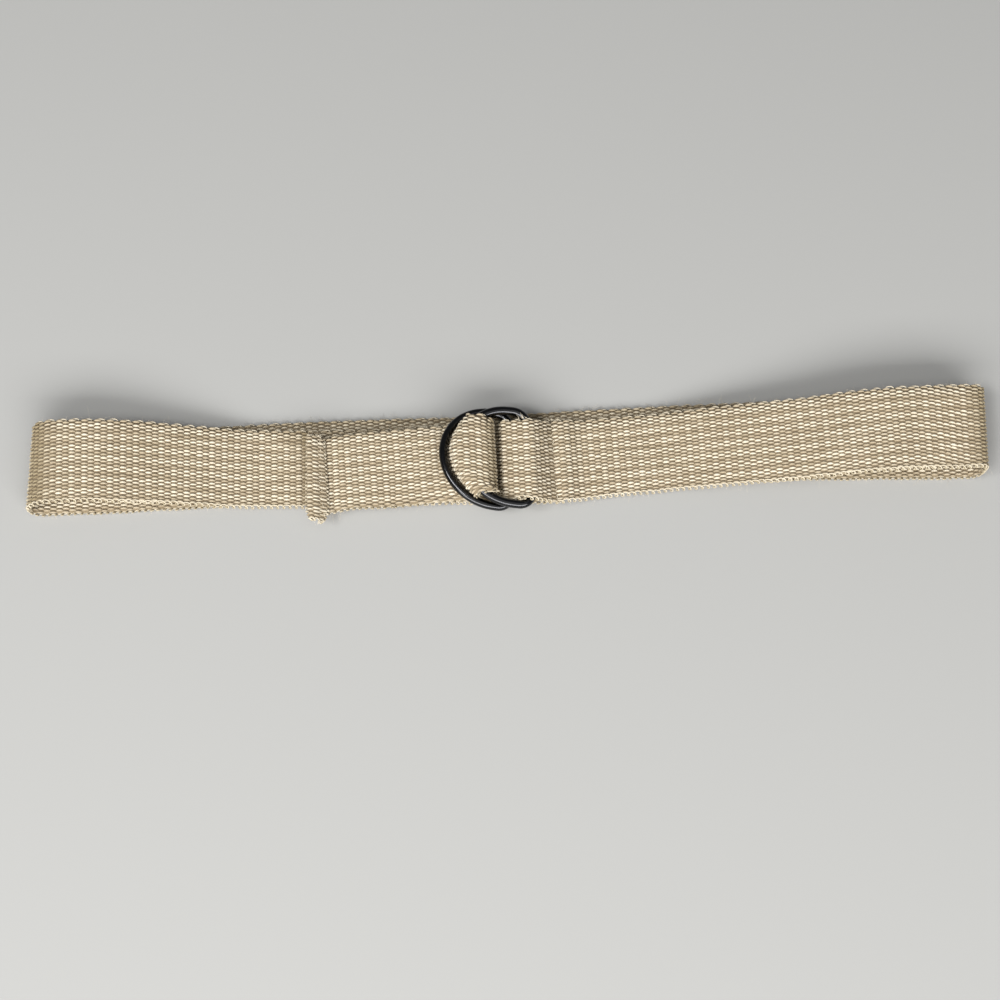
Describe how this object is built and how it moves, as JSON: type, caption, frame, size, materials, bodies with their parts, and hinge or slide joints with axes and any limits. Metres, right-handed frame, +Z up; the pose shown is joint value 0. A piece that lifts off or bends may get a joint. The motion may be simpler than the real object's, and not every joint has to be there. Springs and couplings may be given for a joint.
{
  "type": "webbing belt",
  "caption": "Woven cotton webbing belt closed through a double D-ring buckle, lying flat as a fastened loop with a rolled hem at its tip.",
  "frame": {"origin": "middle of the underside of the object's bounding box, on the surface it lies on", "axes": "+X along the belt from the free tip towards the sewn end, +Y across the webbing, away from the viewer, +Z up"},
  "size_m": [0.4256, 0.0514, 0.0202],
  "materials": {
    "webbing": "coarse warp-faced weave in natural cotton",
    "ring_metal": "polished black nickel plate"
  },
  "bodies": {
    "root": {"webbing_strap": "webbing", "d_ring_upper": "ring_metal", "d_ring_lower": "ring_metal"}
  },
  "joints": []
}
